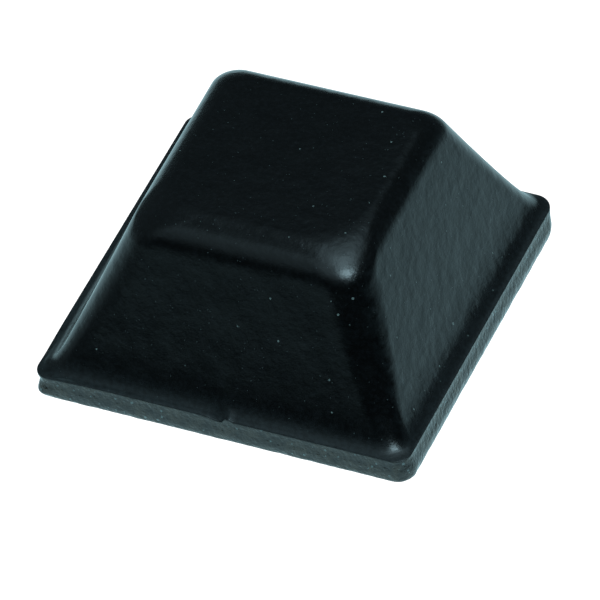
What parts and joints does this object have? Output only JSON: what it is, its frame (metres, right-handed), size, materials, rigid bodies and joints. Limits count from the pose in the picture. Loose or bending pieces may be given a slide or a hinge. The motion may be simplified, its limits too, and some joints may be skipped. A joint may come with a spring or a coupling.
{
  "type": "rubber foot",
  "caption": "Small square tapered foot of black rubber with a thin die-cut flange; its flat base goes against a device and its raised top stands on the desk or bench.",
  "frame": {"origin": "centre of the square face that lies flat, at the bottom of the flange", "axes": "+Z from the flange up to the flat top, +X and +Y along the sides of the flange, -Y towards the side with the nick"},
  "size_m": [0.0128, 0.0128, 0.0063],
  "materials": {
    "rubber": "satin black, smooth where moulded and matt where cut"
  },
  "bodies": {
    "root": {"rubber_foot": "rubber"}
  },
  "joints": []
}
